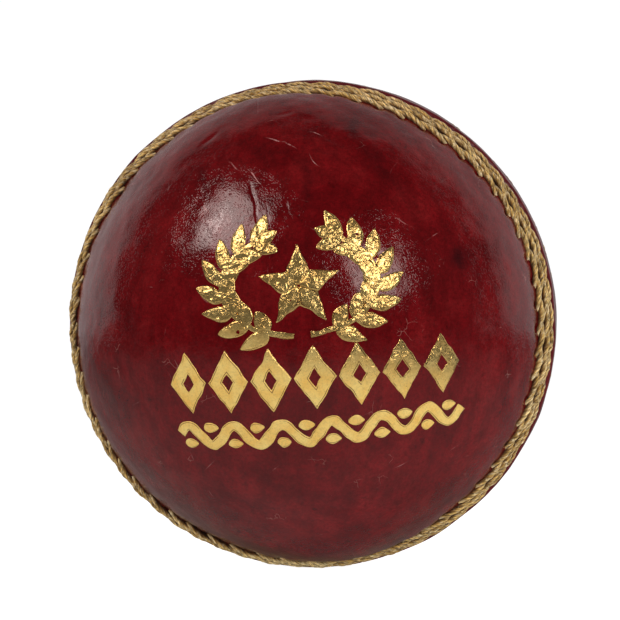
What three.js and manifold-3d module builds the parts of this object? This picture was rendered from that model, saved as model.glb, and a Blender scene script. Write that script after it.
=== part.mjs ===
// A hand-stitched cricket ball of the four-piece kind, in millimetres, +Z up.
// The origin is the ball's centre. The seam axis, through the two leather poles, is Y: the six rows
// of stitching run around it, and the ball stands on its seam. The near cup is on -Y.
import * as THREE from 'three';
import { mergeVertices } from 'three/addons/utils/BufferGeometryUtils.js';
import Module from 'manifold-3d';

const wasm = await Module();
wasm.setup();

// Driving dimensions.
const BALL_RADIUS = 36.4; // seam axis to the flats on the two leather lips beside the join
const LEATHER_RADIUS = 35.6;
const LEATHER_THICKNESS = 3.8;
const CLEARANCE = 0.3; // between pieces that lie on each other
const JOIN_GAP = 0.3; // between the two cups, and between the two quarters of a cup
const NEAR_QUARTER_TURN = 12; // degrees from the vertical plane to the near cup's quarter seam
const FACETS = 40; // flats around the seam axis, with one of them centred straight down
const NUCLEUS_RADIUS = 12;
const CORK_THICKNESS = 2.2;
const YARN_THICKNESS = 1.8;
const LAYER_COUNT = 4;
const STRIPS_PER_LAYER = 4;
const LINING_THICKNESS = 0.8;

// The stitching: three rows in each cup, measured along the leather from the join.
const ROW_ARCS = [4.35, 7.05, 9.75];
const ROW_CREST_RADIUS = 36.2;
const ROW_WIDTH = 2.2;
const ROW_TOP_WIDTH = 1.1;
const ROW_HEIGHT = 0.9;
const ROW_SIDE_HEIGHT = 0.4;
const SEAM_HALF_WIDTH = 11.3;
const LIP_WIDTH = 2.1; // from the join plane to the lip's far edge, then a slope down to the rows
const LIP_SLOPE_WIDTH = 0.7;

// The hidden seam of each cup.
const QUARTER_THREAD_RADIUS = 0.4;
const QUARTER_THREAD_SIDES = 8;
const QUARTER_THREAD_STEPS = 24;
const QUARTER_THREAD_SPAN = 62; // degrees each side of the pole

const LEATHER_INNER_RADIUS = LEATHER_RADIUS - LEATHER_THICKNESS;
const BED_RADIUS = ROW_CREST_RADIUS - ROW_HEIGHT - CLEARANCE; // leather pressed down under the rows
const LINING_RADIUS = LEATHER_INNER_RADIUS - CLEARANCE;
const LINING_INNER_RADIUS = LINING_RADIUS - LINING_THICKNESS;
const LAYER_PITCH = CORK_THICKNESS + YARN_THICKNESS + 2 * CLEARANCE;

const radians = THREE.MathUtils.degToRad;
const seamAngle = (arc) => arc / LEATHER_RADIUS; // from the join plane, in radians

// A point of a lathe profile, by its radius and its angle from the pole on the axis.
function polar(radius, angle) {
  return new THREE.Vector2(radius * Math.sin(angle), radius * Math.cos(angle));
}

// An arc of a profile around the ball's centre, from one polar angle to another.
function arc(radius, fromAngle, toAngle, steps) {
  const at = (i) => polar(radius, THREE.MathUtils.lerp(fromAngle, toAngle, i / steps));
  return Array.from({ length: steps + 1 }, (_, i) => at(i));
}

// The radius for the corners of a hollow's facets, so that their flats stay outside the given radius.
function hollowRadius(radius, stepAround, stepAlong) {
  return radius / (Math.cos(stepAround / 2) * Math.cos(stepAlong / 2));
}

// Turns a closed profile about Y, with a flat centred on each of the four main directions.
function lathe(profile, segments) {
  return new THREE.LatheGeometry(profile, segments, Math.PI / segments);
}

function toSolid(geometry) {
  const bare = geometry.clone();
  bare.deleteAttribute('normal');
  bare.deleteAttribute('uv');
  const merged = mergeVertices(bare, 1e-4);
  const mesh = new wasm.Mesh({
    numProp: 3,
    vertProperties: new Float32Array(merged.attributes.position.array),
    triVerts: new Uint32Array(merged.index.array),
  });
  return new wasm.Manifold(mesh);
}

function toGeometry(solid) {
  const mesh = solid.getMesh();
  const geometry = new THREE.BufferGeometry();
  geometry.setAttribute('position', new THREE.Float32BufferAttribute(mesh.vertProperties, 3));
  geometry.setIndex(new THREE.Uint32BufferAttribute(mesh.triVerts, 1));
  geometry.computeVertexNormals();
  return geometry;
}

const finish = {
  leather: () => new THREE.MeshStandardMaterial({ color: 0x6e0d10, roughness: 0.22, metalness: 0 }),
  thread: () => new THREE.MeshStandardMaterial({ color: 0xb08c4a, roughness: 0.7, metalness: 0 }),
  lining: () => new THREE.MeshStandardMaterial({ color: 0xc9b394, roughness: 0.9, metalness: 0 }),
  yarn: () => new THREE.MeshStandardMaterial({ color: 0xd8cdb4, roughness: 0.95, metalness: 0 }),
  cork: () => new THREE.MeshStandardMaterial({ color: 0xa9794a, roughness: 0.9, metalness: 0 }),
  nucleus: () => new THREE.MeshStandardMaterial({ color: 0x5a3a26, roughness: 0.85, metalness: 0 }),
};

const ball = new THREE.Group();

function addPiece(parent, name, geometry, material) {
  const mesh = new THREE.Mesh(geometry, material);
  mesh.name = name;
  parent.add(mesh);
  return mesh;
}

// Turns a layer's own axis, so that no two layers next to each other lie the same way.
function layerGroup(index) {
  const group = new THREE.Group();
  const turns = [[0, 0, 0], [90, 0, 20], [0, 0, 90], [60, 0, 40]];
  const [x, y, z] = turns[index % turns.length].map(radians);
  group.rotation.set(x, y, z);
  ball.add(group);
  return group;
}

// The nucleus: a ball of ground cork and rubber.
function addNucleus() {
  const geometry = new THREE.SphereGeometry(NUCLEUS_RADIUS, 18, 12);
  addPiece(ball, 'core_nucleus', geometry, finish.nucleus());
}

// A strip of cork bent over the ball: a box whose length, width and depth become angles and radius.
function corkStrip(innerRadius, middleAngle) {
  const spanAround = radians(360 / STRIPS_PER_LAYER - 3);
  const spanAlong = radians(140);
  const stepsAround = 4;
  const stepsAlong = 7;
  const inside = hollowRadius(innerRadius, spanAround / stepsAround, spanAlong / stepsAlong);
  const outside = innerRadius + CORK_THICKNESS;
  const geometry = new THREE.BoxGeometry(1, 1, 1, stepsAround, stepsAlong, 1);
  const position = geometry.attributes.position;
  for (let i = 0; i < position.count; i += 1) {
    const around = middleAngle + position.getX(i) * spanAround;
    const along = position.getY(i) * spanAlong;
    const radius = THREE.MathUtils.lerp(inside, outside, position.getZ(i) + 0.5);
    const ring = radius * Math.cos(along);
    position.setXYZ(i, ring * Math.sin(around), radius * Math.sin(along), ring * Math.cos(around));
  }
  geometry.computeVertexNormals();
  return geometry;
}

// A tight winding of yarn: a hollow ball, open by a small eye at each end of its winding axis.
function yarnWinding(innerRadius) {
  const segments = 20;
  const steps = 9;
  const eye = radians(9);
  const stepAlong = (Math.PI - 2 * eye) / steps;
  const inside = hollowRadius(innerRadius, (2 * Math.PI) / segments, stepAlong);
  const outside = innerRadius + YARN_THICKNESS;
  const outer = arc(outside, Math.PI - eye, eye, steps);
  const inner = arc(inside, eye, Math.PI - eye, steps);
  return lathe([...outer, ...inner, outer[0]], segments);
}

// The inner build: each layer is four strips of cork, bound down by a winding of yarn.
function addLayers() {
  for (let layer = 0; layer < LAYER_COUNT; layer += 1) {
    const group = layerGroup(layer);
    const corkInside = NUCLEUS_RADIUS + CLEARANCE + layer * LAYER_PITCH;
    const yarnInside = corkInside + CORK_THICKNESS + CLEARANCE;
    for (let strip = 0; strip < STRIPS_PER_LAYER; strip += 1) {
      const middleAngle = (strip * 2 * Math.PI) / STRIPS_PER_LAYER;
      const name = `cork_strip_${layer + 1}_${strip + 1}`;
      addPiece(group, name, corkStrip(corkInside, middleAngle), finish.cork());
    }
    addPiece(group, `yarn_winding_${layer + 1}`, yarnWinding(yarnInside), finish.yarn());
  }
}

// A half shell around the pole on +Y, ending in a flat face beside the join. The outer points run
// from the join up to the pole, and the hollow's points run back down.
function cupShell(outerPoints, innerRadius, steps, segments) {
  const inside = hollowRadius(innerRadius, (2 * Math.PI) / segments, Math.PI / 2 / steps);
  const inner = arc(inside, 0, Math.acos(JOIN_GAP / 2 / inside), steps);
  return lathe([...outerPoints, ...inner, outerPoints[0]], segments);
}

// The cup lining between the last winding and the leather.
function cupLining() {
  const steps = 7;
  const outer = arc(LINING_RADIUS, Math.acos(JOIN_GAP / 2 / LINING_RADIUS), 0, steps);
  return cupShell(outer, LINING_INNER_RADIUS, steps, 24);
}

// A whole leather cup: a raised lip beside the join, pressed down where the stitching lies, then
// round from the seam to the pole.
function leatherCup() {
  const steps = 6;
  const seamEdge = Math.PI / 2 - seamAngle(SEAM_HALF_WIDTH);
  const bedStart = Math.PI / 2 - seamAngle(LIP_WIDTH + LIP_SLOPE_WIDTH);
  const lipRadius = BALL_RADIUS / Math.cos(Math.PI / FACETS);
  const lip = [JOIN_GAP / 2, LIP_WIDTH].map((height) => new THREE.Vector2(lipRadius, height));
  const bed = arc(BED_RADIUS, bedStart, seamEdge + radians(1), 3);
  const crown = arc(LEATHER_RADIUS, seamEdge, 0, steps);
  return cupShell([...lip, ...bed, ...crown], LEATHER_INNER_RADIUS, steps, FACETS);
}

class PoleArc extends THREE.Curve {
  constructor(radius, halfSpan) {
    super();
    this.radius = radius;
    this.halfSpan = halfSpan;
  }

  getPoint(t, target = new THREE.Vector3()) {
    const angle = THREE.MathUtils.lerp(-this.halfSpan, this.halfSpan, t);
    return target.set(this.radius * Math.sin(angle), this.radius * Math.cos(angle), 0);
  }
}

// A round tube over the pole of a cup, inside its quarter seam.
function poleTube(tubeRadius, spanDegrees) {
  const section = new THREE.Shape();
  for (let i = 0; i < QUARTER_THREAD_SIDES; i += 1) {
    const turn = (2 * Math.PI * i) / QUARTER_THREAD_SIDES;
    const point = [tubeRadius * Math.cos(turn), tubeRadius * Math.sin(turn)];
    if (i === 0) section.moveTo(...point);
    else section.lineTo(...point);
  }
  section.closePath();
  const path = new PoleArc(LEATHER_INNER_RADIUS + CLEARANCE + QUARTER_THREAD_RADIUS, radians(spanDegrees));
  return new THREE.ExtrudeGeometry(section, {
    steps: QUARTER_THREAD_STEPS,
    bevelEnabled: false,
    extrudePath: path,
  });
}

// A cup's two quarters: the cup, less the quarter seam's gap and the channel for its thread. They are
// cut in the frame of a group turned about Y, so the cup turns back first and keeps a flat at the bottom.
function leatherQuarters(groupTurn) {
  const wall = 2 * BALL_RADIUS;
  const cutFace = (side) => {
    const geometry = new THREE.BoxGeometry(wall, wall, wall);
    geometry.translate(0, 0, side * (wall / 2 + JOIN_GAP / 2));
    return toSolid(geometry);
  };
  const channelRadius = QUARTER_THREAD_RADIUS + CLEARANCE;
  const channel = toSolid(poleTube(channelRadius, QUARTER_THREAD_SPAN + 1));
  const cup = toSolid(leatherCup().rotateY(-groupTurn)).subtract(channel);
  return [1, -1].map((side) => toGeometry(cup.intersect(cutFace(side))));
}

// A closed ring of thread, lying along a row of stitching at an angle from the join plane.
function stitchRow(rowAngle) {
  const shoulder = -ROW_HEIGHT + ROW_SIDE_HEIGHT;
  const section = [
    [-ROW_WIDTH / 2, -ROW_HEIGHT],
    [-ROW_WIDTH / 2, shoulder],
    [-ROW_TOP_WIDTH / 2, 0],
    [ROW_TOP_WIDTH / 2, 0],
    [ROW_WIDTH / 2, shoulder],
    [ROW_WIDTH / 2, -ROW_HEIGHT],
  ];
  const centre = new THREE.Vector2();
  const crest = new THREE.Vector2(ROW_CREST_RADIUS, 0);
  const profile = section.map(([across, out]) => {
    return new THREE.Vector2(out, across).add(crest).rotateAround(centre, rowAngle);
  });
  return lathe([...profile, profile[0]], FACETS);
}

// One side of the ball: a lining, two leather quarters with their thread, and three rows of stitching.
function addCup(label, poleSign, quarterTurn) {
  const cup = new THREE.Group();
  cup.rotation.x = poleSign > 0 ? 0 : Math.PI;
  const quarters = new THREE.Group();
  quarters.rotation.y = radians(90 + quarterTurn);
  cup.add(quarters);
  ball.add(cup);
  addPiece(cup, `${label}_cup_lining`, cupLining(), finish.lining());
  leatherQuarters(quarters.rotation.y).forEach((geometry, i) => {
    addPiece(quarters, `${label}_leather_quarter_${i + 1}`, geometry, finish.leather());
  });
  const thread = poleTube(QUARTER_THREAD_RADIUS, QUARTER_THREAD_SPAN);
  addPiece(quarters, `${label}_quarter_seam_thread`, thread, finish.thread());
  const rowNames = ['middle', 'second', 'outer'];
  ROW_ARCS.forEach((rowArc, i) => {
    const geometry = stitchRow(seamAngle(rowArc));
    addPiece(cup, `${label}_stitch_row_${rowNames[i]}`, geometry, finish.thread());
  });
}

addNucleus();
addLayers();
addCup('near', -1, NEAR_QUARTER_TURN);
addCup('far', 1, NEAR_QUARTER_TURN + 90);

export default ball;
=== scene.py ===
"""The looks of a hand-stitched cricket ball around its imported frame: leather, stitching, foil and studio.

Everything is in metres in the frame's own axes: Y is the seam axis, the near cup is on -Y, and Z is up.
"""

import math

import bpy
import numpy as np
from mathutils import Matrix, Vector


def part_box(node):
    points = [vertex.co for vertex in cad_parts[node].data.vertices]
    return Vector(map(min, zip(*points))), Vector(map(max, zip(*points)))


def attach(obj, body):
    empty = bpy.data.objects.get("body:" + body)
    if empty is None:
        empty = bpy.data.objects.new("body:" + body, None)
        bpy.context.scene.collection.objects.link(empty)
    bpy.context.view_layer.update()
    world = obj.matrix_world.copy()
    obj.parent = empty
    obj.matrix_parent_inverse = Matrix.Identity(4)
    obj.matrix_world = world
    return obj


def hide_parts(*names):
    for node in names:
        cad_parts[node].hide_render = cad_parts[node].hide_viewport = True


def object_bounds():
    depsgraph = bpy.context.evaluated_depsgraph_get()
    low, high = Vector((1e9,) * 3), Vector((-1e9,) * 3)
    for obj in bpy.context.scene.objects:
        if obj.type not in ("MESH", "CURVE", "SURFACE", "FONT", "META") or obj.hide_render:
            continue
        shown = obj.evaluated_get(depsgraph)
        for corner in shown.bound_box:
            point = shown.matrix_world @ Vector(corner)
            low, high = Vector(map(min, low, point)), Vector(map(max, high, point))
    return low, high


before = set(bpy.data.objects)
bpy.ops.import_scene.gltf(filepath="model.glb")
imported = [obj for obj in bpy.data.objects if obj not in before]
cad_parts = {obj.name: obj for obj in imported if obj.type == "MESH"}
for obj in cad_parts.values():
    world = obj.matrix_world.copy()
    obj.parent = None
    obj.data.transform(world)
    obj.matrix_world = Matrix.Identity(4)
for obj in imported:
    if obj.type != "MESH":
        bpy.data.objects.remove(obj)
CAD_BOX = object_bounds()

MM = 0.001
SIDES = {"near": -1, "far": 1}  # the side of the join plane that each cup's pole is on, along Y
ROWS = ("middle", "second", "outer")
QUARTERS = (1, 2)

# Radii and places that the frame gives.
LIP_RADIUS = -CAD_BOX[0][2]
LEATHER_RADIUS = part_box("far_leather_quarter_1")[1][1]
LINING_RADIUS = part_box("far_cup_lining")[1][1]
FLOOR_HEIGHT = CAD_BOX[0][2]

# The cover's inner face lies this far outside the linings.
LINING_CLEARANCE = 0.3 * MM
LEATHER_INNER_RADIUS = LINING_RADIUS + LINING_CLEARANCE

# The quarter seams: how far each one is turned from its main plane, as the frame's quarters are.
QUARTER_TURN = math.radians(12)

# The gaps at the joins: between the cups and between the quarters, and at a quarter's two tips.
JOIN_GAP = 0.002 * MM
TIP_GAP = 0.02 * MM

# The leather's relief, as heights over LEATHER_RADIUS and widths along it from the join.
LIP_WEAR = 0.11 * MM
LIP_HEIGHT = LIP_RADIUS - LEATHER_RADIUS - LIP_WEAR
LIP_EDGE = (2.0 * MM, 3.0 * MM)
BED_DEPTH = 0.42 * MM
BED_EDGE = (9.2 * MM, 9.95 * MM)
RIDGE_HEIGHT = 0.36 * MM
RIDGE_WIDTH = 0.45 * MM
JOIN_LINE_DEPTH = 0.16 * MM
QUARTER_LINE_DEPTH = (0.045 * MM, 0.006 * MM)  # beside the stitching, and on the open leather
QUARTER_LINE_FADE = (12 * MM, 18 * MM)
SEAM_LINE_WIDTH = 0.12 * MM
HOLE_DEPTH = 0.5 * MM
HOLE_WIDTH = 0.5 * MM
HOLE_OFFSET = 1.05 * MM  # from the outer row's middle, away from the join
PUCKER_HEIGHT = 0.03 * MM
PUCKER_OFFSET = 0.5 * MM  # from the holes, away from the join
PUCKER_WIDTH = 0.8 * MM

# The leather's unevenness: the body's slow waves, then finer ones everywhere. Each one has a
# wavelength, a height and a seed.
BODY_WAVES = (24 * MM, 0.06 * MM, 11)
FINE_WAVES = (
    (8 * MM, 0.030 * MM, 12),
    (3.6 * MM, 0.010 * MM, 14),
    (2.0 * MM, 0.0070 * MM, 13),
)

# How finely a quarter is divided: across its outer and inner faces, and from tip to tip.
SWING_STEPS = 210
INNER_STEPS = 14
TILT_STEPS = 381
SHARP_EDGE = math.radians(50)

# The distance from the join at which the leather's from_join value on the mesh is 1.
FROM_JOIN_UNIT = 20 * MM

# Near the ends of a cup's quarter seam its leather swells, and its rows draw in towards the join.
TIP_SPREAD = math.radians(24)
ROW_DRAW = 0.10
SWELL_HEIGHT = 0.65 * MM
SWELL_RISE = (8.9 * MM, 10.6 * MM)
SWELL_FALL = (12 * MM, 27 * MM)

# Marks in the near cup's leather, each from one place to another in X and Z, in millimetres, with its
# strength. A crease's strength is its depth in millimetres.
CREASES = (
    ((-6.6, 22.0), (-5.5, 17.6), 0.11),
    ((-5.6, 18.2), (-4.2, 13.8), 0.12),
    ((-1.4, 19.6), (-0.6, 16.2), 0.05),
    ((-15.2, 26.4), (-12.2, 28.6), 0.12),
    ((-3.6, 31.2), (-1.4, 31.7), 0.08),
    ((9.5, 27.5), (12.5, 22.0), 0.05),
    ((9.0, 10.8), (12.5, 11.8), 0.05),
    ((-24.0, -6.0), (-20.5, -13.0), 0.05),
    ((4.0, -24.5), (10.5, -25.5), 0.06),
    ((-12.0, -23.5), (-7.0, -26.5), 0.05),
)
SCRATCHES = (
    ((-6.9, 23.8), (-5.0, 22.0), 1.0),
    ((-10.0, 24.6), (-8.5, 24.0), 0.6),
    ((-4.6, 28.3), (-2.2, 28.0), 0.8),
    ((-1.9, 27.9), (-1.0, 26.8), 0.9),
    ((1.2, 28.7), (2.5, 28.4), 0.7),
    ((2.1, 26.0), (3.3, 24.8), 0.8),
    ((-13.0, 19.5), (-12.4, 18.0), 0.5),
    ((14.0, 17.0), (16.4, 15.8), 0.4),
)
STAINS = (
    ((6.4, 30.4), (8.2, 28.6), 0.7),
    ((8.6, 27.5), (16.5, 19.0), 0.35),
    ((22.8, 13.0), (24.0, 9.6), 0.8),
    ((-15.5, 24.5), (-12.5, 20.0), 0.45),
    ((1.0, 26.0), (2.5, 19.5), 0.3),
    ((-24.5, 4.0), (-23.0, -4.0), 0.3),
)
CREASE_WIDTH = 0.24 * MM
SCRATCH_WIDTH = 0.13 * MM
SCRATCH_REACH = 0.35 * MM  # of its mark on the mesh, in which its line is drawn
STAIN_WIDTH = 1.1 * MM
SEEDED_SCRATCHES = 26  # small ones, on each cup

# The stitching.
STITCH_COUNT = 60
STITCH_PITCH = 2 * math.pi / STITCH_COUNT
STITCH_LENGTHS = (1.75, 1.95)  # in pitches, so each stitch overlaps the next
STITCH_SLANT = 0.50 * MM  # how far its ends lie to each side of the row's middle
STITCH_DIP = 0.85 * MM  # how deep its ends go
STITCH_SHIFT = 0.07 * MM  # how far a stitch strays from its row
STITCH_BEND = 0.05 * MM  # how far its thread wavers
CREST_RADIUS = 36.35 * MM
THREAD_HALF_WIDTH = 0.65 * MM
THREAD_HALF_HEIGHT = 0.55 * MM
THREAD_PLIES = 4
THREAD_TURNS = 1.5  # of its twist, in one stitch
THREAD_RINGS = 30
THREAD_RING_POINTS = 24

# The gold print on the near cup, laid out flat in millimetres around its own centre and then bent over
# the ball: a laurel wreath around a star, a row of lozenges, and a waving ribbon with leaves.
PRINT_CENTRE = (3.1, -1.0)
PRINT_TILT = math.radians(4.5)
EMBLEM_ACROSS = -1.3
WREATH_CENTRE = (EMBLEM_ACROSS, 9.2)
WREATH_REACH = (11.6, 7.6)
WREATH_STEM = (-84, 58)  # the ends of each branch's stem, in degrees around the centre from level
WREATH_STEM_WIDTH = 0.8
WREATH_LEAF_ROOTS = (-66, 56)  # its first and last pair of leaves, in the same degrees
WREATH_LEAF_PAIRS = 8
WREATH_LEAVES = ((0.72, 5.0), (-0.78, 3.9))  # of a pair: the angle from the stem in radians, and the length
WREATH_LEAF_WIDTH = 2.3
WREATH_TIP_LEAF = (3.8, 2.0)  # length and width
STAR_CENTRE = (EMBLEM_ACROSS, 8.7)
STAR_RADIUS = 6.3
STAR_ARM_WIDTH = 3.3
LOZENGE_COUNT = 7
LOZENGE_PITCH = 6.45
LOZENGE_HEIGHT = -4.6
LOZENGE_REACH = (3.05, 4.7)
LOZENGE_OPENING = 0.30
RIBBON_ENDS = (-22.0, 22.6)
RIBBON_HEIGHT = -12.9
RIBBON_WAVE = 7.4
RIBBON_SWING = 1.6
RIBBON_WIDTH = 1.6
RIBBON_LEAF_COUNT = 12
RIBBON_LEAF_HALF_LENGTH = 1.2
RIBBON_LEAF_WIDTH = 1.7
RIBBON_LEAF_OFFSET = 1.3

# The foil over the leather: its rim, its middle over the rim, and how deep it goes under the surface.
FOIL_RIM = 0.03 * MM
FOIL_RISE = 0.04 * MM
FOIL_DEPTH = 0.10 * MM
FOIL_WOBBLE = 0.06  # of its outline, in the flat layout's millimetres
FOIL_STRIP_POINTS = 7

# The camera: the photograph's viewing angle, the width in view at the ball, and how far to the right of
# the ball's centre and above it the camera looks.
CAMERA_AZIMUTH = math.radians(5.2)
CAMERA_ELEVATION = math.radians(3.4)
CAMERA_DISTANCE = 0.87
VIEW_WIDTH = 92.4 * MM
VIEW_CENTRE = (-0.45 * MM, 2.05 * MM)
SENSOR_WIDTH = 36

# The lights, each with its direction from the ball, distance, width, height and radiance. The mirrored
# ones are warm and show in the gloss. The others are plain and kept out of reflections.
MIRRORED_LIGHTS = {
    "key": ((-0.55, -0.42, 0.722), 0.5, 0.23, 0.22, 5.3),
    "key_core": ((-0.60, -0.38, 0.70), 0.49, 0.03, 0.08, 11.0),
    "fill": ((0.53, -0.706, 0.468), 0.55, 0.23, 0.22, 5.4),
}
PLAIN_LIGHTS = {
    "wrap": ((-0.08, -0.99, 0.04), 1.2, 1.34, 0.97, 0.95),
    "wrap_left": ((-0.97, -0.15, 0.20), 1.0, 0.8, 0.8, 1.5),
    "wrap_right": ((0.97, -0.10, 0.20), 1.0, 0.8, 0.8, 2.4),
}
WARM = (1.0, 0.83, 0.78)
WHITE = (1.0, 1.0, 1.0)

# The studio around: the middle of its bright part, low behind the ball, and the cosines of the angles
# from there at which it begins and is at its full strength.
GLOW_MIDDLE = (0.01, 0.994, -0.109)
GLOW_EDGE = (0.255, 0.305)
GLOW_COLOUR = (1.0, 0.875, 0.865)
FLOOR_HALF_WIDTH = 30


def smooth_step(low, high, value):
    """0 below low, 1 above high, and a smooth rise between them."""
    part = np.clip((value - low) / (high - low), 0, 1)
    return part * part * (3 - 2 * part)


def unit(vectors):
    """The same directions at length 1."""
    return vectors / np.linalg.norm(vectors, axis=-1, keepdims=True)


def waviness(points, wavelength, seed, count=24):
    """A smooth seeded unevenness over points in space, about 1 high, made of crossing waves."""
    rng = np.random.default_rng(seed)
    ways = unit(rng.normal(size=(count, 3)))
    numbers = 2 * np.pi / (wavelength * rng.uniform(0.7, 1.5, count))
    phases = rng.uniform(0, 2 * np.pi, count)
    angles = points @ (ways * numbers[:, None]).T + phases
    return np.cos(angles).sum(axis=-1) * math.sqrt(2 / count)


def row_arc(row):
    """How far a row of stitching lies from the join, along the leather."""
    low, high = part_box(f"far_stitch_row_{row}")
    return LEATHER_RADIUS * math.asin((low[1] + high[1]) / 2 / CREST_RADIUS)


ROW_ARC = {row: row_arc(row) for row in ROWS}


def quarter_axes(side):
    """The tip direction of a cup's quarter seam, and the direction of the cup's first quarter."""
    cos, sin = math.cos(QUARTER_TURN), math.sin(QUARTER_TURN)
    if side == "near":
        return np.array([-sin, 0, cos]), np.array([cos, 0, sin])
    return np.array([-cos, 0, sin]), np.array([-sin, 0, -cos])


def around_seam(side, angle):
    """The direction in the join plane at an angle, counter-clockwise as seen from the cup's pole."""
    across = -SIDES[side] * np.cos(angle)
    return np.stack([across, np.zeros_like(angle), np.sin(angle)], axis=-1)


def on_ball(side, angle, arc, radius):
    """A point by its angle around the seam, its distance from the join and its radius."""
    rise = (arc / LEATHER_RADIUS)[..., None]
    pole = np.array([0.0, SIDES[side], 0.0])
    return radius[..., None] * (np.cos(rise) * around_seam(side, angle) + np.sin(rise) * pole)


def tip_nearness(side, angle):
    """1 at the two ends of a cup's quarter seam, and 0 well away from them around the join."""
    tip, _ = quarter_axes(side)
    apart = (angle - math.atan2(tip[2], -SIDES[side] * tip[0]) + np.pi / 2) % np.pi - np.pi / 2
    return np.exp(-((apart / TIP_SPREAD) ** 2))


def seam_places(side, directions):
    """Angles around the join, distances from it, and those distances with the rows' drawing-in undone."""
    angle = np.arctan2(directions[..., 2], -SIDES[side] * directions[..., 0])
    arc = LEATHER_RADIUS * np.arcsin(np.clip(np.abs(directions[..., 1]), 0, 1))
    return angle, arc, arc / (1 - ROW_DRAW * tip_nearness(side, angle))


def seeded_scratches(side):
    """Small faint scratches all over a cup, each with a start, an end and a strength."""
    rng = np.random.default_rng(60 + SIDES[side])
    starts = rng.uniform(-24, 24, (SEEDED_SCRATCHES, 2))
    ends = starts + rng.uniform(0.5, 1.6, (SEEDED_SCRATCHES, 1)) * unit(rng.normal(size=starts.shape))
    return tuple(zip(starts, ends, rng.uniform(0.06, 0.34, SEEDED_SCRATCHES)))


def marks(points, strokes, width):
    """How strongly strokes mark points of leather, and how far to its stroke's left each point is."""
    flat = points[..., [0, 2]] + 0.25 * MM * waviness(points, 5 * MM, 71)[..., None]
    strongest = np.zeros(points.shape[:-1])
    aside = np.zeros(points.shape[:-1])
    for start, end, strength in strokes:
        way = (np.array(end) - start) * MM
        length = np.hypot(*way)
        from_start = flat - np.array(start) * MM
        along = np.clip(from_start @ way / length ** 2, 0, 1)
        distance = np.linalg.norm(from_start - along[..., None] * way, axis=-1)
        taper = np.sin(np.pi * np.clip(along, 0.02, 0.98)) ** 0.5
        mark = strength * taper * np.exp(-((distance / width) ** 2))
        left = (way[0] * from_start[..., 1] - way[1] * from_start[..., 0]) / length
        aside = np.where(mark > strongest, left, aside)
        strongest = np.maximum(strongest, mark)
    return strongest, aside


def seam_relief(arc):
    """The leather's height across the seam: the lip at the join, the bed of the rows, and their ridges."""
    lip = LIP_HEIGHT * (1 - smooth_step(*LIP_EDGE, arc))
    bed = BED_DEPTH * smooth_step(*LIP_EDGE, arc) * (1 - smooth_step(*BED_EDGE, arc))
    arcs = sorted(ROW_ARC.values())
    ridges = sum(np.exp(-(((arc - (a + b) / 2) / RIDGE_WIDTH) ** 2)) for a, b in zip(arcs, arcs[1:]))
    return lip - bed + RIDGE_HEIGHT * ridges


def leather_radius(side, directions):
    """The outer face of a cup's leather, as a radius in each direction."""
    points = directions * LEATHER_RADIUS
    angle, arc, even_arc = seam_places(side, directions)
    from_stitch = (angle / STITCH_PITCH + 0.5) % 1 - 0.5
    along = from_stitch * STITCH_PITCH * LEATHER_RADIUS
    relief = seam_relief(even_arc)
    outer = ROW_ARC["outer"] + HOLE_OFFSET
    hole = np.exp(-((along / HOLE_WIDTH) ** 2) - ((even_arc - outer) / HOLE_WIDTH) ** 2)
    inner_hole = np.exp(-((along / HOLE_WIDTH) ** 2) - ((even_arc - LIP_EDGE[1]) / HOLE_WIDTH) ** 2)
    from_pucker = (even_arc - outer - PUCKER_OFFSET) / PUCKER_WIDTH
    pucker = np.cos(2 * np.pi * from_stitch) * np.exp(-(from_pucker ** 2))
    relief = relief - HOLE_DEPTH * (hole + inner_hole) - PUCKER_HEIGHT * pucker
    swell = smooth_step(*SWELL_RISE, arc) * (1 - smooth_step(*SWELL_FALL, arc))
    relief = relief + SWELL_HEIGHT * swell * tip_nearness(side, angle)
    _, across = quarter_axes(side)
    from_quarter_seam = LEATHER_RADIUS * (directions @ across)
    line_fade = smooth_step(*QUARTER_LINE_FADE, arc)
    quarter_line = QUARTER_LINE_DEPTH[0] * (1 - line_fade) + QUARTER_LINE_DEPTH[1] * line_fade
    for distance, depth in ((arc, JOIN_LINE_DEPTH), (from_quarter_seam, quarter_line)):
        relief = relief - depth * np.exp(-((distance / SEAM_LINE_WIDTH) ** 2))
    body = smooth_step(LIP_EDGE[1], BED_EDGE[1], arc)
    wavelength, height, seed = BODY_WAVES
    relief = relief + body * height * waviness(points, wavelength, seed)
    for wavelength, height, seed in FINE_WAVES:
        relief = relief + height * waviness(points, wavelength, seed)
    if side == "near":
        relief = relief - MM * marks(points, CREASES, CREASE_WIDTH)[0]
    return LEATHER_RADIUS + relief


def new_mesh_object(name, points, faces):
    """A smooth-shaded object from points and faces."""
    mesh = bpy.data.meshes.new(name)
    mesh.from_pydata(points.tolist(), [], faces)
    mesh.update()
    mesh.shade_smooth()
    thing = bpy.data.objects.new(name, mesh)
    bpy.context.collection.objects.link(thing)
    return thing


def mark_points(thing, name, values):
    """Stores a number or a vector on every point of an object, for its material to read."""
    kind, key = ("FLOAT", "value") if values.ndim == 1 else ("FLOAT_VECTOR", "vector")
    attribute = thing.data.attributes.new(name, kind, "POINT")
    attribute.data.foreach_set(key, values.astype(np.float32).ravel())


def loft_faces(ring_count, ring_size, first, wrapped):
    """The faces of one closed body through rings of points: a loop, or a run with a face over each end."""
    faces = []
    for ring in range(ring_count if wrapped else ring_count - 1):
        low = first + ring * ring_size
        high = first + (ring + 1) % ring_count * ring_size
        for i in range(ring_size):
            j = (i + 1) % ring_size
            faces.append((low + i, low + j, high + j, high + i))
    if not wrapped:
        faces.append(tuple(first + i for i in reversed(range(ring_size))))
        last = first + (ring_count - 1) * ring_size
        faces.append(tuple(last + i for i in range(ring_size)))
    return faces


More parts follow.
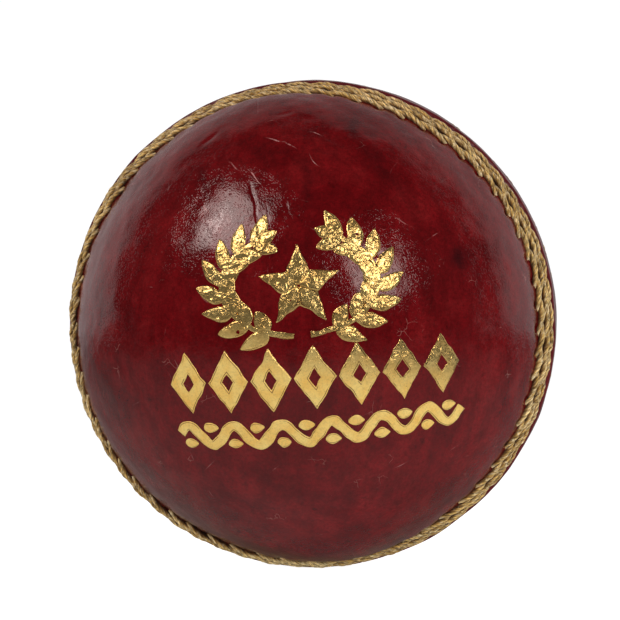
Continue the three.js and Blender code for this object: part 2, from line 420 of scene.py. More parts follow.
def loft_object(name, bodies, wrapped=False):
    """One object of many closed bodies, each an array of rings of points."""
    faces = []
    count = 0
    for rings in bodies:
        faces += loft_faces(rings.shape[0], rings.shape[1], count, wrapped)
        count += rings.shape[0] * rings.shape[1]
    return new_mesh_object(name, np.concatenate([rings.reshape(-1, 3) for rings in bodies]), faces)


def crowded_ends(count, crowding=0.8):
    """Steps from 0 to 1 that lie closer together towards both ends."""
    even = np.linspace(0, 1, count + 1)
    return even - crowding * np.sin(2 * np.pi * even) / (2 * np.pi)


def leather_quarter(side, index):
    """One quarter of the cover, as a closed body between the join and the cup's quarter seam."""
    tip, across = quarter_axes(side)
    outwards = across if index == 1 else -across
    pole = np.array([0.0, SIDES[side], 0.0])
    edge = JOIN_GAP / LEATHER_RADIUS
    end = TIP_GAP / LEATHER_RADIUS
    outer = crowded_ends(SWING_STEPS)
    inner = np.linspace(1, 0, INNER_STEPS)
    swing = np.concatenate([outer, inner]) * (np.pi / 2 - 2 * edge) + edge
    tilt = np.linspace(-np.pi / 2 + end, np.pi / 2 - end, TILT_STEPS)[:, None]
    turned = np.cos(swing)[None, :, None] * outwards + np.sin(swing)[None, :, None] * pole
    directions = np.sin(tilt)[..., None] * tip + np.cos(tilt)[..., None] * turned
    radii = leather_radius(side, directions)
    radii[:, len(outer):] = LEATHER_INNER_RADIUS
    rings = radii[..., None] * directions
    if np.dot(np.cross(outwards, pole), tip) < 0:
        rings = rings[:, ::-1]
    quarter = loft_object(f"{side}_leather_{index}", [rings])
    quarter.data.set_sharp_from_angle(angle=SHARP_EDGE)
    even_arc = seam_places(side, unit(rings))[2]
    scratches = seeded_scratches(side)
    if side == "near":
        scratches += SCRATCHES
        mark_points(quarter, "stained", marks(rings, STAINS, STAIN_WIDTH)[0].ravel())
    scratched, aside = marks(rings, scratches, SCRATCH_REACH)
    mark_points(quarter, "scratched", scratched.ravel())
    mark_points(quarter, "aside", aside.ravel() / SCRATCH_WIDTH)
    mark_points(quarter, "from_join", even_arc.ravel() / FROM_JOIN_UNIT)
    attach(quarter, "root")
    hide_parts(f"{side}_leather_quarter_{index}")
    return quarter


def across_thread(centres):
    """The directions outwards and sideways across a thread, all along its middle line."""
    tangent = unit(np.gradient(centres, axis=0))
    out = unit(centres)
    out = unit(out - (out * tangent).sum(axis=1, keepdims=True) * tangent)
    return out, np.cross(tangent, out)


def stitch(side, arc, angle, rng):
    """One stitch: a twisted thread from its hole on the pole's side, slanting over to the join's side.

    Returns its rings of points, and on each point its painted light, which is 0 in the hollows between
    plies, on the side towards the leather and at the dipping ends and 1 on the outer crests, how strong its
    pale spot of wax and painted highlight is, from 0 to 1, and its place along and around the straightened,
    untwisted thread.
    """
    t = np.linspace(0, 1, THREAD_RINGS)
    along = (t - 0.5) * rng.uniform(*STITCH_LENGTHS) * STITCH_PITCH * LEATHER_RADIUS
    slant = STITCH_SLANT * (1 - 2 * smooth_step(0.08, 0.92, t)) + STITCH_SHIFT * rng.normal()
    slant = slant + STITCH_BEND * np.sin(2 * np.pi * (1.7 * t + rng.uniform()))
    arc = arc * (1 - ROW_DRAW * tip_nearness(side, angle))
    lift = np.sin(np.pi * np.clip(t, 0.01, 0.99)) ** 0.75
    width = THREAD_HALF_WIDTH * (0.62 + 0.38 * smooth_step(0.05, 0.5, t) - 0.2 * smooth_step(0.85, 1, t))
    width = width * (rng.uniform(0.90, 1.08) + 0.06 * np.sin(2 * np.pi * (2.3 * t + rng.uniform())))
    height = THREAD_HALF_HEIGHT * (0.66 + 0.34 * smooth_step(0.1, 0.5, t) - 0.2 * smooth_step(0.85, 1, t))
    top = CREST_RADIUS - THREAD_HALF_HEIGHT + 0.06 * MM * np.clip(rng.normal(), -1.5, 1)
    radius = top - STITCH_DIP * (1 - lift)
    centres = on_ball(side, angle + along / LEATHER_RADIUS, arc + slant, radius)
    out, beside = across_thread(centres)
    turn = np.linspace(0, 2 * np.pi, THREAD_RING_POINTS, endpoint=False)
    twist = 2 * np.pi * THREAD_TURNS * t[:, None] + rng.uniform(0, np.pi)
    ply = np.abs(np.sin(THREAD_PLIES / 2 * (turn[None, :] - twist)))
    plies = 0.80 + 0.21 * ply ** 0.8
    high = height[:, None] * np.cos(turn) * plies
    wide = width[:, None] * np.sin(turn) * plies
    rings = centres[:, None] + high[..., None] * out[:, None] + wide[..., None] * beside[:, None]
    # Painted light for the thread's colour: 0 in the hollows between plies, on the side towards the leather
    # and where the ends dip into their holes, 1 on the outer crests.
    upward = smooth_step(-0.25, 0.95, np.cos(turn))[None, :]
    painted_crest_light = upward * (0.38 + 0.62 * ply ** 0.8) * lift[:, None] ** 0.4
    unwound = turn[None, :] - twist
    run = np.broadcast_to(along[:, None], unwound.shape) + rng.uniform(0, 1000) * MM
    place = [run, THREAD_HALF_WIDTH * np.cos(unwound), THREAD_HALF_WIDTH * np.sin(unwound)]
    # A pale spot near the tail, on the outer side: wax and a painted highlight.
    spot = np.exp(-(((t - rng.uniform(0.11, 0.17)) / 0.040) ** 2)) * rng.uniform(0.2, 1.0)
    wax_and_painted_highlight = spot[:, None] * np.clip(np.cos(turn), 0, 1)[None, :]
    return rings, painted_crest_light, wax_and_painted_highlight, np.stack(place, axis=-1)


def stitch_row(side, row, seed):
    """A row of stitches all around the ball, each one lying beside the end of the last."""
    rng = np.random.default_rng(seed)
    start = rng.uniform(0, 1)
    angles = (np.arange(STITCH_COUNT) + start) * STITCH_PITCH
    angles = angles + np.radians(rng.normal(0, 0.25, STITCH_COUNT))
    stitches = [stitch(side, ROW_ARC[row], angle, rng) for angle in angles]
    rings = loft_object(f"{side}_stitches_{row}", [made[0] for made in stitches])
    mark_points(rings, "painted_crest_light", np.concatenate([made[1].ravel() for made in stitches]))
    mark_points(rings, "wax_and_painted_highlight", np.concatenate([made[2].ravel() for made in stitches]))
    mark_points(rings, "strand", np.concatenate([made[3].reshape(-1, 3) for made in stitches]))
    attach(rings, "root")
    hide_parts(f"{side}_stitch_row_{row}")
    return rings


def bent_over(flat):
    """Points of the print's flat layout, as directions from the ball's centre."""
    cos, sin = math.cos(PRINT_TILT), math.sin(PRINT_TILT)
    right = (flat[..., 0] * cos - flat[..., 1] * sin + PRINT_CENTRE[0]) * MM
    up = (flat[..., 0] * sin + flat[..., 1] * cos + PRINT_CENTRE[1]) * MM
    reach = np.hypot(right, up) + 1e-9
    angle = reach / LEATHER_RADIUS
    return np.stack([np.sin(angle) * right / reach, -np.cos(angle), np.sin(angle) * up / reach], axis=-1)


def foil_rings(flat, edge):
    """A patch of foil as closed rings, and on each point how far it lies in from the patch's rim.

    flat is the patch's grid of points, and edge is 0 at its rim and 1 in its middle.
    """
    level = np.stack([flat[..., 0], flat[..., 1], 0 * edge], axis=-1)
    flat = flat + FOIL_WOBBLE * np.stack([waviness(level, 2.2, seed) for seed in (32, 33)], axis=-1)
    directions = bent_over(flat)
    points = directions * LEATHER_RADIUS
    crinkle = 0.006 + 0.024 * smooth_step(-8, 2, flat[..., 1])
    inside = smooth_step(0, 0.5, edge)
    height = FOIL_RIM + inside * (FOIL_RISE + MM * crinkle * waviness(points, 1.3 * MM, 31))
    under = leather_radius("near", directions)
    upper = (under + height)[..., None] * directions
    lower = (under - FOIL_DEPTH)[..., None] * directions
    return np.concatenate([upper, lower[:, ::-1]], axis=1), np.concatenate([edge, 0 * edge], axis=1)


def strip(centre_line, widths):
    """A strip of foil along a line of points, with its width at each of them."""
    way = unit(np.gradient(centre_line, axis=0))
    side = np.stack([-way[:, 1], way[:, 0]], axis=-1)
    v = np.linspace(-1, 1, FOIL_STRIP_POINTS)
    flat = centre_line[:, None] + (widths / 2)[:, None, None] * v[None, :, None] * side[:, None]
    return foil_rings(flat, np.broadcast_to(1 - np.abs(v), flat.shape[:2]))


def straight(start, end, t):
    """Points along a straight line."""
    start, end = np.array(start), np.array(end)
    return start + t[:, None] * (end - start)


def leaf(start, end, width):
    """A leaf from its stalk to its tip, pointed at both ends."""
    t = np.linspace(0.02, 0.98, 16)
    return strip(straight(start, end, t), width * np.sin(np.pi * t ** 0.8) ** 0.8)


def kite(start, end, width, widest):
    """A kite with its two sharp ends at start and end, widest at a share of the way."""
    t = np.sort(np.append(np.linspace(0.03, 0.985, 15), widest))
    return strip(straight(start, end, t), width * np.minimum(t / widest, (1 - t) / (1 - widest)))


def loop_patch(centre, outline, inner_share):
    """A patch between an outline around a centre and the same outline made smaller."""
    share = np.linspace(inner_share, 1, FOIL_STRIP_POINTS)
    flat = np.array(centre) + outline[:, None] * share[None, :, None]
    v = np.linspace(-1, 1, FOIL_STRIP_POINTS)
    return foil_rings(flat[::-1], np.broadcast_to(1 - np.abs(v), flat.shape[:2]))


def polygon_outline(corners, points_per_side=14):
    """Points along a closed polygon's sides."""
    corners = np.array(corners, float)
    share = np.arange(points_per_side)[:, None] / points_per_side
    sides = [a + (b - a) * share for a, b in zip(corners, np.roll(corners, -1, axis=0))]
    return np.concatenate(sides)


def branch(hand):
    """A laurel branch that curves up on the left (-1) or right (1): a stem, pairs of leaves and a tip."""
    centre = np.array(WREATH_CENTRE)
    across, up = WREATH_REACH
    sweep = np.radians(np.linspace(*WREATH_STEM, 60))
    stem = centre + np.stack([hand * across * np.cos(sweep), up * np.sin(sweep)], axis=-1)
    bodies = [strip(stem[::hand], np.full(len(stem), WREATH_STEM_WIDTH))]
    for angle in np.radians(np.linspace(*WREATH_LEAF_ROOTS, WREATH_LEAF_PAIRS)):
        root = centre + [hand * across * math.cos(angle), up * math.sin(angle)]
        way = np.array([-hand * across * math.sin(angle), up * math.cos(angle)])
        way = way / np.hypot(*way)
        out = np.array([hand * way[1], -hand * way[0]])
        for turn, length in WREATH_LEAVES:
            tip = root + length * (math.cos(turn) * way + math.sin(turn) * out)
            bodies.append(leaf(root, tip, WREATH_LEAF_WIDTH))
    length, width = WREATH_TIP_LEAF
    tip = stem[-1] + length * unit(stem[-1] - stem[-2])
    bodies.append(leaf(stem[-1], tip, width))
    return bodies


def wreath():
    """Two laurel branches that curve up from the middle."""
    return branch(-1) + branch(1)


def star():
    """A five-pointed star inside the wreath, of five kites that meet in the middle."""
    centre = np.array(STAR_CENTRE)
    bodies = []
    for angle in np.radians(90 + 72 * np.arange(5)):
        tip = centre + STAR_RADIUS * np.array([math.cos(angle), math.sin(angle)])
        bodies.append(kite(centre, tip, STAR_ARM_WIDTH, widest=0.36))
    return bodies


def lozenges():
    """A row of upright lozenges, each with an open middle."""
    across, up = LOZENGE_REACH
    outline = polygon_outline([(across, 0), (0, up), (-across, 0), (0, -up)])
    places = LOZENGE_PITCH * (np.arange(LOZENGE_COUNT) - (LOZENGE_COUNT - 1) / 2)
    return [loop_patch((place, LOZENGE_HEIGHT), outline, LOZENGE_OPENING) for place in places]


def scroll():
    """A ribbon that waves along under the lozenges, with a small leaf in each of its hollows."""
    run = np.linspace(*RIBBON_ENDS, 190)
    rise = RIBBON_HEIGHT + RIBBON_SWING * np.sin(2 * np.pi * run / RIBBON_WAVE)
    bodies = [strip(np.stack([run, rise], axis=-1), np.full(len(run), RIBBON_WIDTH))]
    for i in range(RIBBON_LEAF_COUNT):
        right = (i / 2 - 2.75) * RIBBON_WAVE
        up = RIBBON_HEIGHT + (-RIBBON_LEAF_OFFSET if i % 2 == 0 else RIBBON_LEAF_OFFSET)
        ends = [(right + way * RIBBON_LEAF_HALF_LENGTH, up) for way in (-1, 1)]
        bodies.append(leaf(*ends, RIBBON_LEAF_WIDTH))
    return bodies


def gold_print():
    """The stamped foil, as one object for each of its motifs."""
    pieces = []
    for make in (wreath, star, lozenges, scroll):
        patches = make()
        bodies = [rings for rings, _ in patches]
        piece = loft_object(f"near_print_{make.__name__}", bodies, wrapped=make is lozenges)
        mark_points(piece, "from_rim", np.concatenate([edge.ravel() for _, edge in patches]))
        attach(piece, "root")
        pieces.append(piece)
    return pieces


class NodeTree:
    """Short calls for the nodes that the materials and the world share."""

    def __init__(self, tree):
        self.tree = tree

    def node(self, kind, inputs, **settings):
        """A new node. Each input is a value or another node's output."""
        made = self.tree.nodes.new(kind)
        for name, value in settings.items():
            setattr(made, name, value)
        for key, value in inputs.items():
            if isinstance(value, bpy.types.NodeSocket):
                self.tree.links.new(value, made.inputs[key])
            else:
                made.inputs[key].default_value = value
        return made

    def ramp(self, value, stops):
        """Colours or greys along a value, each stop a place and a colour."""
        made = self.node("ShaderNodeValToRGB", {"Fac": value})
        elements = made.color_ramp.elements
        for place, _ in stops[2:]:
            elements.new(place)
        for element, (place, colour) in zip(elements, stops):
            element.position = place
            element.color = (*colour, 1) if isinstance(colour, tuple) else (colour, colour, colour, 1)
        return made.outputs["Color"]

    def span(self, value, low, high, new_low, new_high):
        """The value, moved from one range to another and held inside it."""
        inputs = {"Value": value, "From Min": low, "From Max": high, "To Min": new_low, "To Max": new_high}
        return self.node("ShaderNodeMapRange", inputs).outputs["Result"]

    def maths(self, operation, a, b):
        """One sum on two values."""
        return self.node("ShaderNodeMath", {0: a, 1: b}, operation=operation).outputs[0]

    def vector_maths(self, operation, inputs, output="Vector"):
        """One sum on vectors."""
        return self.node("ShaderNodeVectorMath", inputs, operation=operation).outputs[output]

    def blend(self, share, a, b, mode="MIX"):
        """Two colours mixed by a share."""
        made = self.node("ShaderNodeMix", {"Factor": share}, data_type="RGBA", blend_type=mode)
        for socket, colour in ((made.inputs[6], a), (made.inputs[7], b)):
            if isinstance(colour, bpy.types.NodeSocket):
                self.tree.links.new(colour, socket)
            else:
                socket.default_value = (*colour, 1)
        return made.outputs[2]


class Shader(NodeTree):
    """A material of nodes around one Principled shader."""

    def __init__(self, name, **sockets):
        self.material = bpy.data.materials.new(name)
        self.material.use_nodes = True
        super().__init__(self.material.node_tree)
        self.principled = self.tree.nodes["Principled BSDF"]
        for socket, value in sockets.items():
            self.principled.inputs[socket.replace("_", " ")].default_value = value
        self.place = self.tree.nodes.new("ShaderNodeTexCoord").outputs["Object"]

    def noise(self, size, detail=4, roughness=0.5, distortion=0, place=None):
        """Soft noise with features about size metres across."""
        inputs = {"Vector": place or self.place, "Scale": 1 / size, "Detail": detail}
        inputs.update({"Roughness": roughness, "Distortion": distortion})
        return self.node("ShaderNodeTexNoise", inputs).outputs["Fac"]

    def cells(self, size, feature="F1", place=None):
        """The distance pattern of cells about size metres across."""
        inputs = {"Vector": place or self.place, "Scale": 1 / size}
        return self.node("ShaderNodeTexVoronoi", inputs, feature=feature).outputs["Distance"]

    def bump(self, height, depth, normal=None):
        """A bump of this depth in metres where the height goes from 0 to 1."""
        inputs = {"Height": height, "Distance": depth, "Strength": 1.0}
        if normal is not None:
            inputs["Normal"] = normal
        return self.node("ShaderNodeBump", inputs).outputs["Normal"]

    def attribute(self, name, output="Fac"):
        """A value that the mesh carries on its points."""
        return self.node("ShaderNodeAttribute", {}, attribute_name=name).outputs[output]

    def stretched(self, vector, scale):
        """Places scaled along each axis, so that a pattern over them is stretched the other way."""
        return self.node("ShaderNodeMapping", {"Vector": vector, "Scale": scale}).outputs["Vector"]

    def feed(self, **sockets):
        """Links outputs into the Principled shader's sockets."""
        for socket, output in sockets.items():
            self.tree.links.new(output, self.principled.inputs[socket.replace("_", " ")])


def leather_dye(shader, from_join, bed):
    """Cloudy red dye with faint streaks, stains and fine cracks, and duller in the bed of the stitching."""
    clouds = shader.noise(8 * MM, detail=8, roughness=0.66, distortion=0.5)
    dye = shader.ramp(clouds, ((0.30, (0.080, 0.0011, 0.0022)), (0.50, (0.118, 0.0020, 0.0036)),
                               (0.70, (0.155, 0.0062, 0.0075))))
    dull = shader.ramp(from_join, ((0.005, (0.015, 0.003, 0.003)), (0.013, (0.105, 0.014, 0.017)),
                                   (0.12, (0.105, 0.014, 0.017)), (0.15, (0.085, 0.028, 0.016))))
    dye = shader.blend(bed, dye, dull)
    upright = shader.stretched(shader.place, (1, 1, 0.16))
    streaks = shader.ramp(shader.noise(2.0 * MM, detail=4, place=upright), ((0.32, 0.78), (0.68, 1.18)))
    stains = shader.ramp(shader.noise(4 * MM, detail=5, roughness=0.7), ((0.27, 0.55), (0.36, 1.0)))
    grain = shader.ramp(shader.noise(0.5 * MM, detail=3, roughness=0.7), ((0.30, 0.72), (0.70, 1.22)))
    for shade in (streaks, stains, grain):
        dye = shader.blend(1.0, dye, shade, "MULTIPLY")
    cracks = shader.cells(2.2 * MM, "DISTANCE_TO_EDGE", warped(shader))
    cracks = shader.ramp(cracks, ((0.0, 0.6), (0.02, 0.0)))
    cracked = shader.ramp(shader.noise(5 * MM, detail=2), ((0.66, 0.0), (0.70, 1.0)))
    return shader.blend(shader.maths("MULTIPLY", cracks, cracked), dye, (0.34, 0.15, 0.13))


def scratch_lines(shader):
    """Thin broken lines along the leather's scratches."""
    line = shader.span(shader.maths("ABSOLUTE", shader.attribute("aside"), 0.0), 0.3, 0.7, 1.0, 0.0)
    line = shader.maths("MULTIPLY", line, shader.attribute("scratched"))
    broken = shader.ramp(shader.noise(0.6 * MM, detail=3), ((0.36, 0.1), (0.52, 1.0)))
    return shader.maths("MULTIPLY", line, broken)


def leather_material():
    """Deep red polished leather with pores, wrinkles and scratches, under a clear glossy finish."""
    shader = Shader("red_leather", Coat_Roughness=0.02, Coat_IOR=1.5, IOR=1.4, Specular_IOR_Level=0.03)
    from_join = shader.attribute("from_join")
    bed = shader.span(from_join, 0.43, 0.47, 1.0, 0.0)
    dye = leather_dye(shader, from_join, bed)
    dye = shader.blend(shader.attribute("stained"), dye, (0.025, 0.002, 0.003))
    dye = shader.blend(scratch_lines(shader), dye, (0.58, 0.29, 0.28))
    gloss = shader.span(shader.noise(3 * MM, detail=5, roughness=0.65), 0.3, 0.7, 0.42, 0.60)
    pores = shader.ramp(shader.cells(0.32 * MM, place=warped(shader)), ((0.0, 0.0), (0.50, 1.0)))
    wrinkles = shader.noise(0.5 * MM, detail=5, roughness=0.62, distortion=0.8)
    normal = shader.bump(pores, 0.016 * MM)
    normal = shader.bump(wrinkles, 0.016 * MM, normal)
    lip = shader.span(from_join, 0.10, 0.15, 0.40, 0.10)
    lip = shader.maths("MULTIPLY", lip, shader.span(from_join, 0.005, 0.013, 0.0, 1.0))
    coat = shader.maths("MAXIMUM", lip, shader.span(bed, 0, 1, 1.0, 0.0))
    shader.feed(Base_Color=dye, Roughness=gloss, Coat_Weight=coat, Normal=normal, Coat_Normal=normal)
    return shader.material


def warped(shader):
    """Places pushed about by noise, so that a pattern of cells loses its straight lines."""
    noise = {"Vector": shader.place, "Scale": 1 / (2 * MM)}
    push = shader.node("ShaderNodeTexNoise", noise).outputs["Color"]
    push = shader.vector_maths("SCALE", {0: push, 3: 1.8 * MM})
    return shader.vector_maths("ADD", {0: shader.place, 1: push})


def thread_material():
    """Waxed linen: golden tan plies of fine fibres with painted shade in the hollows and painted glints on
    the crests, and a few pale spots of wax and painted highlight.
    """
    shader = Shader("waxed_linen_thread", Sheen_Weight=0.1, Sheen_Roughness=0.4, IOR=1.45,
                    Specular_IOR_Level=0.35)
    island = shader.node("ShaderNodeNewGeometry", {}).outputs["Random Per Island"]
    tint = shader.ramp(island, ((0.0, (0.46, 0.290, 0.070)), (0.55, (0.64, 0.440, 0.135)),
                                (1.0, (0.76, 0.57, 0.24))))
    strand = shader.stretched(shader.attribute("strand", "Vector"), (0.28, 1, 1))
    fibres = shader.noise(0.24 * MM, detail=5, roughness=0.7, place=strand)
    shade = shader.ramp(fibres, ((0.36, 0.16), (0.50, 0.84), (0.62, 1.80)))
    colour = shader.blend(1.0, tint, shade, "MULTIPLY")
    # Painted shade: darker in the hollows between the plies, on each thread's side towards the leather and
    # where it dips into its holes.
    painted_crest_light = shader.attribute("painted_crest_light")
    painted_hollow_shade = shader.ramp(painted_crest_light, ((0.0, (0.10, 0.045, 0.020)), (0.45, (0.46, 0.36, 0.24)),
                                    (0.90, (1.0, 1.0, 1.0))))
    colour = shader.blend(1.0, colour, painted_hollow_shade, "MULTIPLY")
    wax_and_painted_glints = shader.ramp(shader.noise(0.8 * MM, detail=5, roughness=0.7), ((0.55, 0.0), (0.63, 0.85)))
    # Painted glints: pale specks, and the wax patches with them, shown only on the lit crests.
    painted_glints = shader.ramp(shader.noise(0.30 * MM, detail=3, place=strand), ((0.57, 0.0), (0.64, 0.9)))
    wax_and_painted_glints = shader.maths("MULTIPLY", shader.maths("MAXIMUM", wax_and_painted_glints, painted_glints), painted_crest_light)
    # A pale spot near each stitch's tail on its outer side: wax and a painted highlight.
    wax_and_painted_highlight = shader.attribute("wax_and_painted_highlight")
    wax_and_painted_glints = shader.maths("MAXIMUM", wax_and_painted_glints, wax_and_painted_highlight)
    colour = shader.blend(wax_and_painted_glints, colour, (0.95, 0.80, 0.48))
    gloss = shader.span(wax_and_painted_glints, 0.0, 0.5, 0.50, 0.20)
    normal = shader.bump(fibres, 0.20 * MM)
    shader.feed(Base_Color=colour, Roughness=gloss, Normal=normal)
    return shader.material


def foil_material():
    """Hot-stamped gold foil, mirror-like high on the ball and satin lower down, paler high up as a painted
    highlight, with small worn spots.
    """
    shader = Shader("gold_foil", IOR=1.45)
    rise = shader.vector_maths("DOT_PRODUCT", {0: shader.place, 1: (0.19, 0, 1)}, "Value")
    satin = shader.span(rise, -5.5 * MM, 1.0 * MM, 1.0, 0.0)
    clouds = shader.noise(2.5 * MM, detail=4)
    tone = shader.ramp(clouds, ((0.30, (0.94, 0.60, 0.13)), (0.65, (1.0, 0.76, 0.24))))
    # Paler where the foil is mirror-like, high on the ball: a painted highlight that whitens it.
    tone = shader.blend(shader.span(satin, 0, 1, 0.25, 0.0), tone, (0.92, 0.77, 0.42))
    flecks = shader.ramp(shader.noise(0.28 * MM, detail=3, roughness=0.7), ((0.32, 0.82), (0.55, 1.0)))
    tone = shader.blend(1.0, tone, flecks, "MULTIPLY")
    wear = shader.noise(0.5 * MM, detail=6, roughness=0.75, distortion=1.5)
    wear = shader.ramp(wear, ((0.66, 0.0), (0.72, 1.0)))
    colour = shader.blend(wear, tone, (0.13, 0.02, 0.012))
    from_rim = shader.attribute("from_rim")
    line = shader.ramp(from_rim, ((0.13, 0.0), (0.18, 0.9), (0.24, 0.9), (0.29, 0.0)))
    pressed = shader.ramp(shader.noise(2.2 * MM, detail=3), ((0.46, 0.0), (0.54, 1.0)))
    line = shader.maths("MULTIPLY", line, pressed)
    colour = shader.blend(line, colour, (0.16, 0.055, 0.012))
    metal = shader.maths("SUBTRACT", shader.span(satin, 0, 1, 0.85, 0.27), wear)
    fine = shader.span(shader.noise(1.2 * MM, detail=5, roughness=0.7), 0.3, 0.7, 0.08, 0.24)
    gloss = shader.maths("ADD", fine, shader.span(satin, 0, 1, 0.0, 0.22))
    crinkle = shader.noise(1.0 * MM, detail=3, roughness=0.55, distortion=1.2)
    crinkle = shader.maths("MULTIPLY", crinkle, shader.span(satin, 0, 1, 1.0, 0.25))
    shader.feed(Base_Color=colour, Metallic=metal, Roughness=gloss, Normal=shader.bump(crinkle, 0.25 * MM))
    return shader.material


def fibre_material(name, dark, light, size, depth):
    """Matt fibrous stuff between two colours, with a grain of this size and depth."""
    shader = Shader(name, IOR=1.4)
    grain = shader.noise(size, detail=6, roughness=0.7, distortion=0.6)
    colour = shader.ramp(grain, ((0.32, dark), (0.68, light)))
    rough = shader.span(grain, 0.3, 0.7, 0.95, 0.75)
    shader.feed(Base_Color=colour, Roughness=rough, Normal=shader.bump(grain, depth))
    return shader.material


def cork_material(name, base, light, speck):
    """Cork: pale grains of many sizes with dark specks."""
    shader = Shader(name, IOR=1.4)
    grains = shader.cells(1.1 * MM)
    colour = shader.ramp(grains, ((0.0, light), (0.8, base)))
    specks = shader.ramp(shader.noise(0.8 * MM, detail=4, roughness=0.7), ((0.30, 1.0), (0.42, 0.0)))
    colour = shader.blend(specks, colour, speck)
    rough = shader.span(grains, 0.0, 1.0, 0.8, 0.95)
    shader.feed(Base_Color=colour, Roughness=rough, Normal=shader.bump(grains, 0.12 * MM))
    return shader.material


def floor_material():
    """A pale plain floor: white to the camera, aglow behind the ball, and brighter below its right side."""
    shader = Shader("pale_floor", Roughness=0.9, Specular_IOR_Level=0.1)
    reach = shader.vector_maths("LENGTH", {0: shader.place}, "Value")
    axes = shader.node("ShaderNodeSeparateXYZ", {"Vector": shader.place}).outputs
    behind = shader.span(axes["Y"], 0.10, 0.34, 0.0, 0.5)
    bounce = shader.span(axes["X"], -0.10, 0.10, 0.40, 0.80)
    path = shader.node("ShaderNodeLightPath", {}).outputs
    shader.principled.inputs["Emission Color"].default_value = (*WHITE, 1)
    glow = shader.maths("MAXIMUM", path["Is Camera Ray"], behind)
    glow = shader.maths("MAXIMUM", glow, shader.maths("MULTIPLY", path["Is Diffuse Ray"], bounce))
    shader.feed(Base_Color=shader.span(reach, 0.05, 0.26, 0.54, 0.04), Emission_Strength=glow)
    return shader.material


def give_material(thing, material):
    """Sets one material on an object, in place of what it had."""
    thing.data.materials.clear()
    thing.data.materials.append(material)


def dress_frame_node(node, material):
    """Puts a material in every slot of a CAD node."""
    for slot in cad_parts[node].material_slots:
        slot.material = material


def dress_inside():
    """The materials of the pieces inside, which keep their CAD shapes."""
    cork = cork_material("sheet_cork", (0.40, 0.215, 0.095), (0.56, 0.345, 0.175), (0.10, 0.045, 0.02))
    nucleus = cork_material("cork_and_rubber", (0.11, 0.06, 0.035), (0.25, 0.14, 0.08),
                            (0.02, 0.015, 0.012))
    yarn = fibre_material("worsted_yarn", (0.42, 0.35, 0.24), (0.78, 0.71, 0.57), 0.5 * MM, 0.15 * MM)
    lining = fibre_material("lining_hide", (0.42, 0.31, 0.20), (0.66, 0.54, 0.40), 0.9 * MM, 0.06 * MM)
    hidden = fibre_material("hidden_linen", (0.38, 0.32, 0.21), (0.72, 0.65, 0.50), 0.3 * MM, 0.08 * MM)
    kinds = {"core": nucleus, "cork": cork, "yarn": yarn}
    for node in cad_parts:
        if node.endswith("cup_lining"):
            dress_frame_node(node, lining)
        elif node.endswith("quarter_seam_thread"):
            dress_frame_node(node, hidden)
        elif node.split("_")[0] in kinds:
            dress_frame_node(node, kinds[node.split("_")[0]])


def make_floor():
    """A wide floor under the ball."""
    square = FLOOR_HALF_WIDTH * np.array([(-1, -1), (1, -1), (1, 1), (-1, 1)])
    corners = np.array([(x, y, FLOOR_HEIGHT) for x, y in square])
    floor = new_mesh_object("floor", corners, [(0, 1, 2, 3)])
    give_material(floor, floor_material())


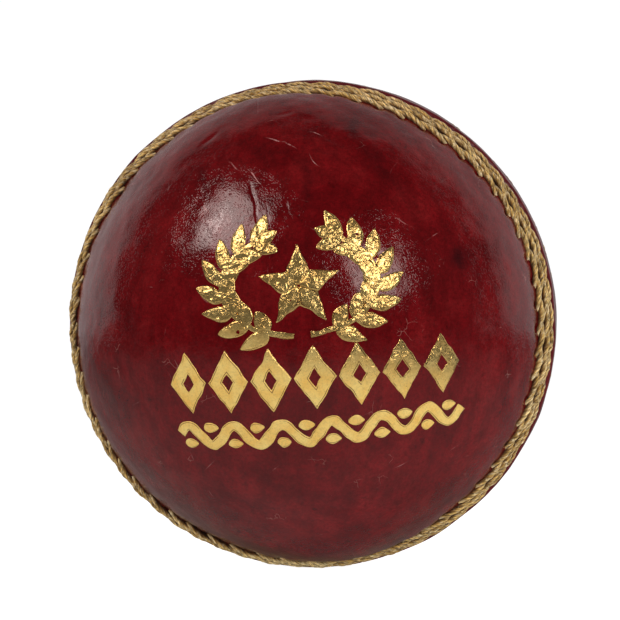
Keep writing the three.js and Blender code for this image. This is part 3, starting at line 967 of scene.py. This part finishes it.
def make_world():
    """A studio that is dim before the ball and above it, bright low behind it, and white to the camera."""
    world = bpy.data.worlds.new("studio")
    world.use_nodes = True
    bpy.context.scene.world = world
    sky = NodeTree(world.node_tree)
    way = sky.node("ShaderNodeTexCoord", {}).outputs["Generated"]
    behind = sky.vector_maths("DOT_PRODUCT", {0: way, 1: GLOW_MIDDLE}, "Value")
    inputs = {"Value": behind, "From Min": GLOW_EDGE[0], "From Max": GLOW_EDGE[1]}
    edge = sky.node("ShaderNodeMapRange", inputs, interpolation_type="SMOOTHSTEP").outputs["Result"]
    height = sky.node("ShaderNodeSeparateXYZ", {"Vector": way}).outputs["Z"]
    light = sky.maths("MULTIPLY", edge, sky.span(height, 0.30, 0.80, 0.64, 0.26))
    seen = sky.node("ShaderNodeLightPath", {}).outputs["Is Camera Ray"]
    light = sky.maths("MAXIMUM", sky.maths("MAXIMUM", light, 0.03), seen)
    background = sky.tree.nodes["Background"].inputs
    sky.tree.links.new(sky.blend(seen, GLOW_COLOUR, WHITE), background["Color"])
    sky.tree.links.new(light, background["Strength"])


def make_softbox(name, direction, distance, width, height, radiance, mirrored):
    """A flat soft light that faces the ball."""
    data = bpy.data.lights.new(name, "AREA")
    data.shape = "RECTANGLE"
    data.size = width
    data.size_y = height
    data.color = WARM if mirrored else WHITE
    data.energy = radiance * math.pi * width * height
    light = bpy.data.objects.new(name, data)
    bpy.context.collection.objects.link(light)
    way = Vector(direction).normalized()
    light.location = way * distance
    light.rotation_euler = way.to_track_quat("Z", "Y").to_euler()
    light.visible_camera = False
    light.visible_glossy = mirrored


def make_lights():
    """The soft studio lights."""
    for name, settings in MIRRORED_LIGHTS.items():
        make_softbox(name, *settings, mirrored=True)
    for name, settings in PLAIN_LIGHTS.items():
        make_softbox(name, *settings, mirrored=False)


def make_camera():
    """The camera, at the viewing angle of the photograph."""
    away = Vector((
        math.sin(CAMERA_AZIMUTH) * math.cos(CAMERA_ELEVATION),
        -math.cos(CAMERA_AZIMUTH) * math.cos(CAMERA_ELEVATION),
        math.sin(CAMERA_ELEVATION),
    ))
    data = bpy.data.cameras.new("camera")
    data.sensor_width = SENSOR_WIDTH
    data.lens = SENSOR_WIDTH * CAMERA_DISTANCE / VIEW_WIDTH
    camera = bpy.data.objects.new("camera", data)
    bpy.context.collection.objects.link(camera)
    turn = away.to_track_quat("Z", "Y")
    target = turn @ Vector((*VIEW_CENTRE, 0))
    camera.location = target + away * CAMERA_DISTANCE
    camera.rotation_euler = turn.to_euler()
    bpy.context.scene.camera = camera


def make_ball():
    """The cover and the stitching in place of their plain CAD shapes, the print, and the inside's looks."""
    leather = leather_material()
    thread = thread_material()
    for side in SIDES:
        for index in QUARTERS:
            give_material(leather_quarter(side, index), leather)
        for number, row in enumerate(ROWS):
            seed = 100 + 10 * SIDES[side] + number
            give_material(stitch_row(side, row, seed), thread)
    foil = foil_material()
    for piece in gold_print():
        give_material(piece, foil)
    dress_inside()


make_camera()
make_ball()
make_floor()
make_world()
make_lights()
bpy.context.scene.view_settings.view_transform = "Standard"
